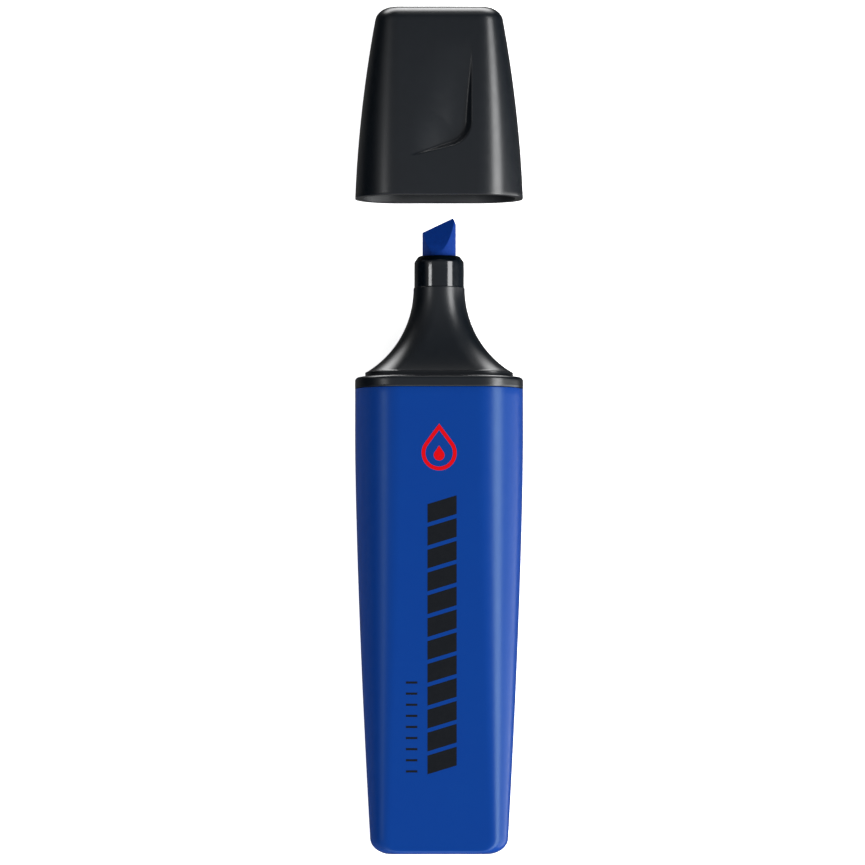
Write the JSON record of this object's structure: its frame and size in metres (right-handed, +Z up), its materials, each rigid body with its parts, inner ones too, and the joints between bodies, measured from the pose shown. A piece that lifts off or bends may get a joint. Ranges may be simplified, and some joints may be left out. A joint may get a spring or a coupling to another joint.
{
  "type": "highlighter pen",
  "caption": "Flat capped highlighter: wide tapered barrel, flared round neck, chisel felt nib, and a push-on cap with a curved thumb scoop, shown pulled off in line.",
  "frame": {"origin": "on the surface that the pen lies on, under the middle of its length as shown with the cap off", "axes": "+X across the width, +Y along the pen to the nib and cap, +Z up through the printed broad face"},
  "size_m": [0.0264, 0.1334, 0.0165],
  "materials": {
    "barrel_plastic": "smooth opaque blue moulding",
    "black_plastic": "black moulding, satin with a polished land",
    "felt": "ink-soaked sintered felt",
    "fibre": "ink-soaked fibre bundle",
    "film": "thin clear film",
    "cap_plastic": "black satin moulding",
    "seal_plastic": "smooth soft black moulding"
  },
  "bodies": {
    "pen": {"barrel": "barrel_plastic", "front_section": "black_plastic", "nib": "felt", "reservoir_core": "fibre", "reservoir_film": "film"},
    "cap": {"cap_shell": "cap_plastic", "cap_seal": "seal_plastic"}
  },
  "joints": [
    {"name": "cap_slide", "type": "slide", "parent": "pen", "child": "cap", "axis": [0, 1, 0], "range_m": [-0.02826, 0]}
  ]
}
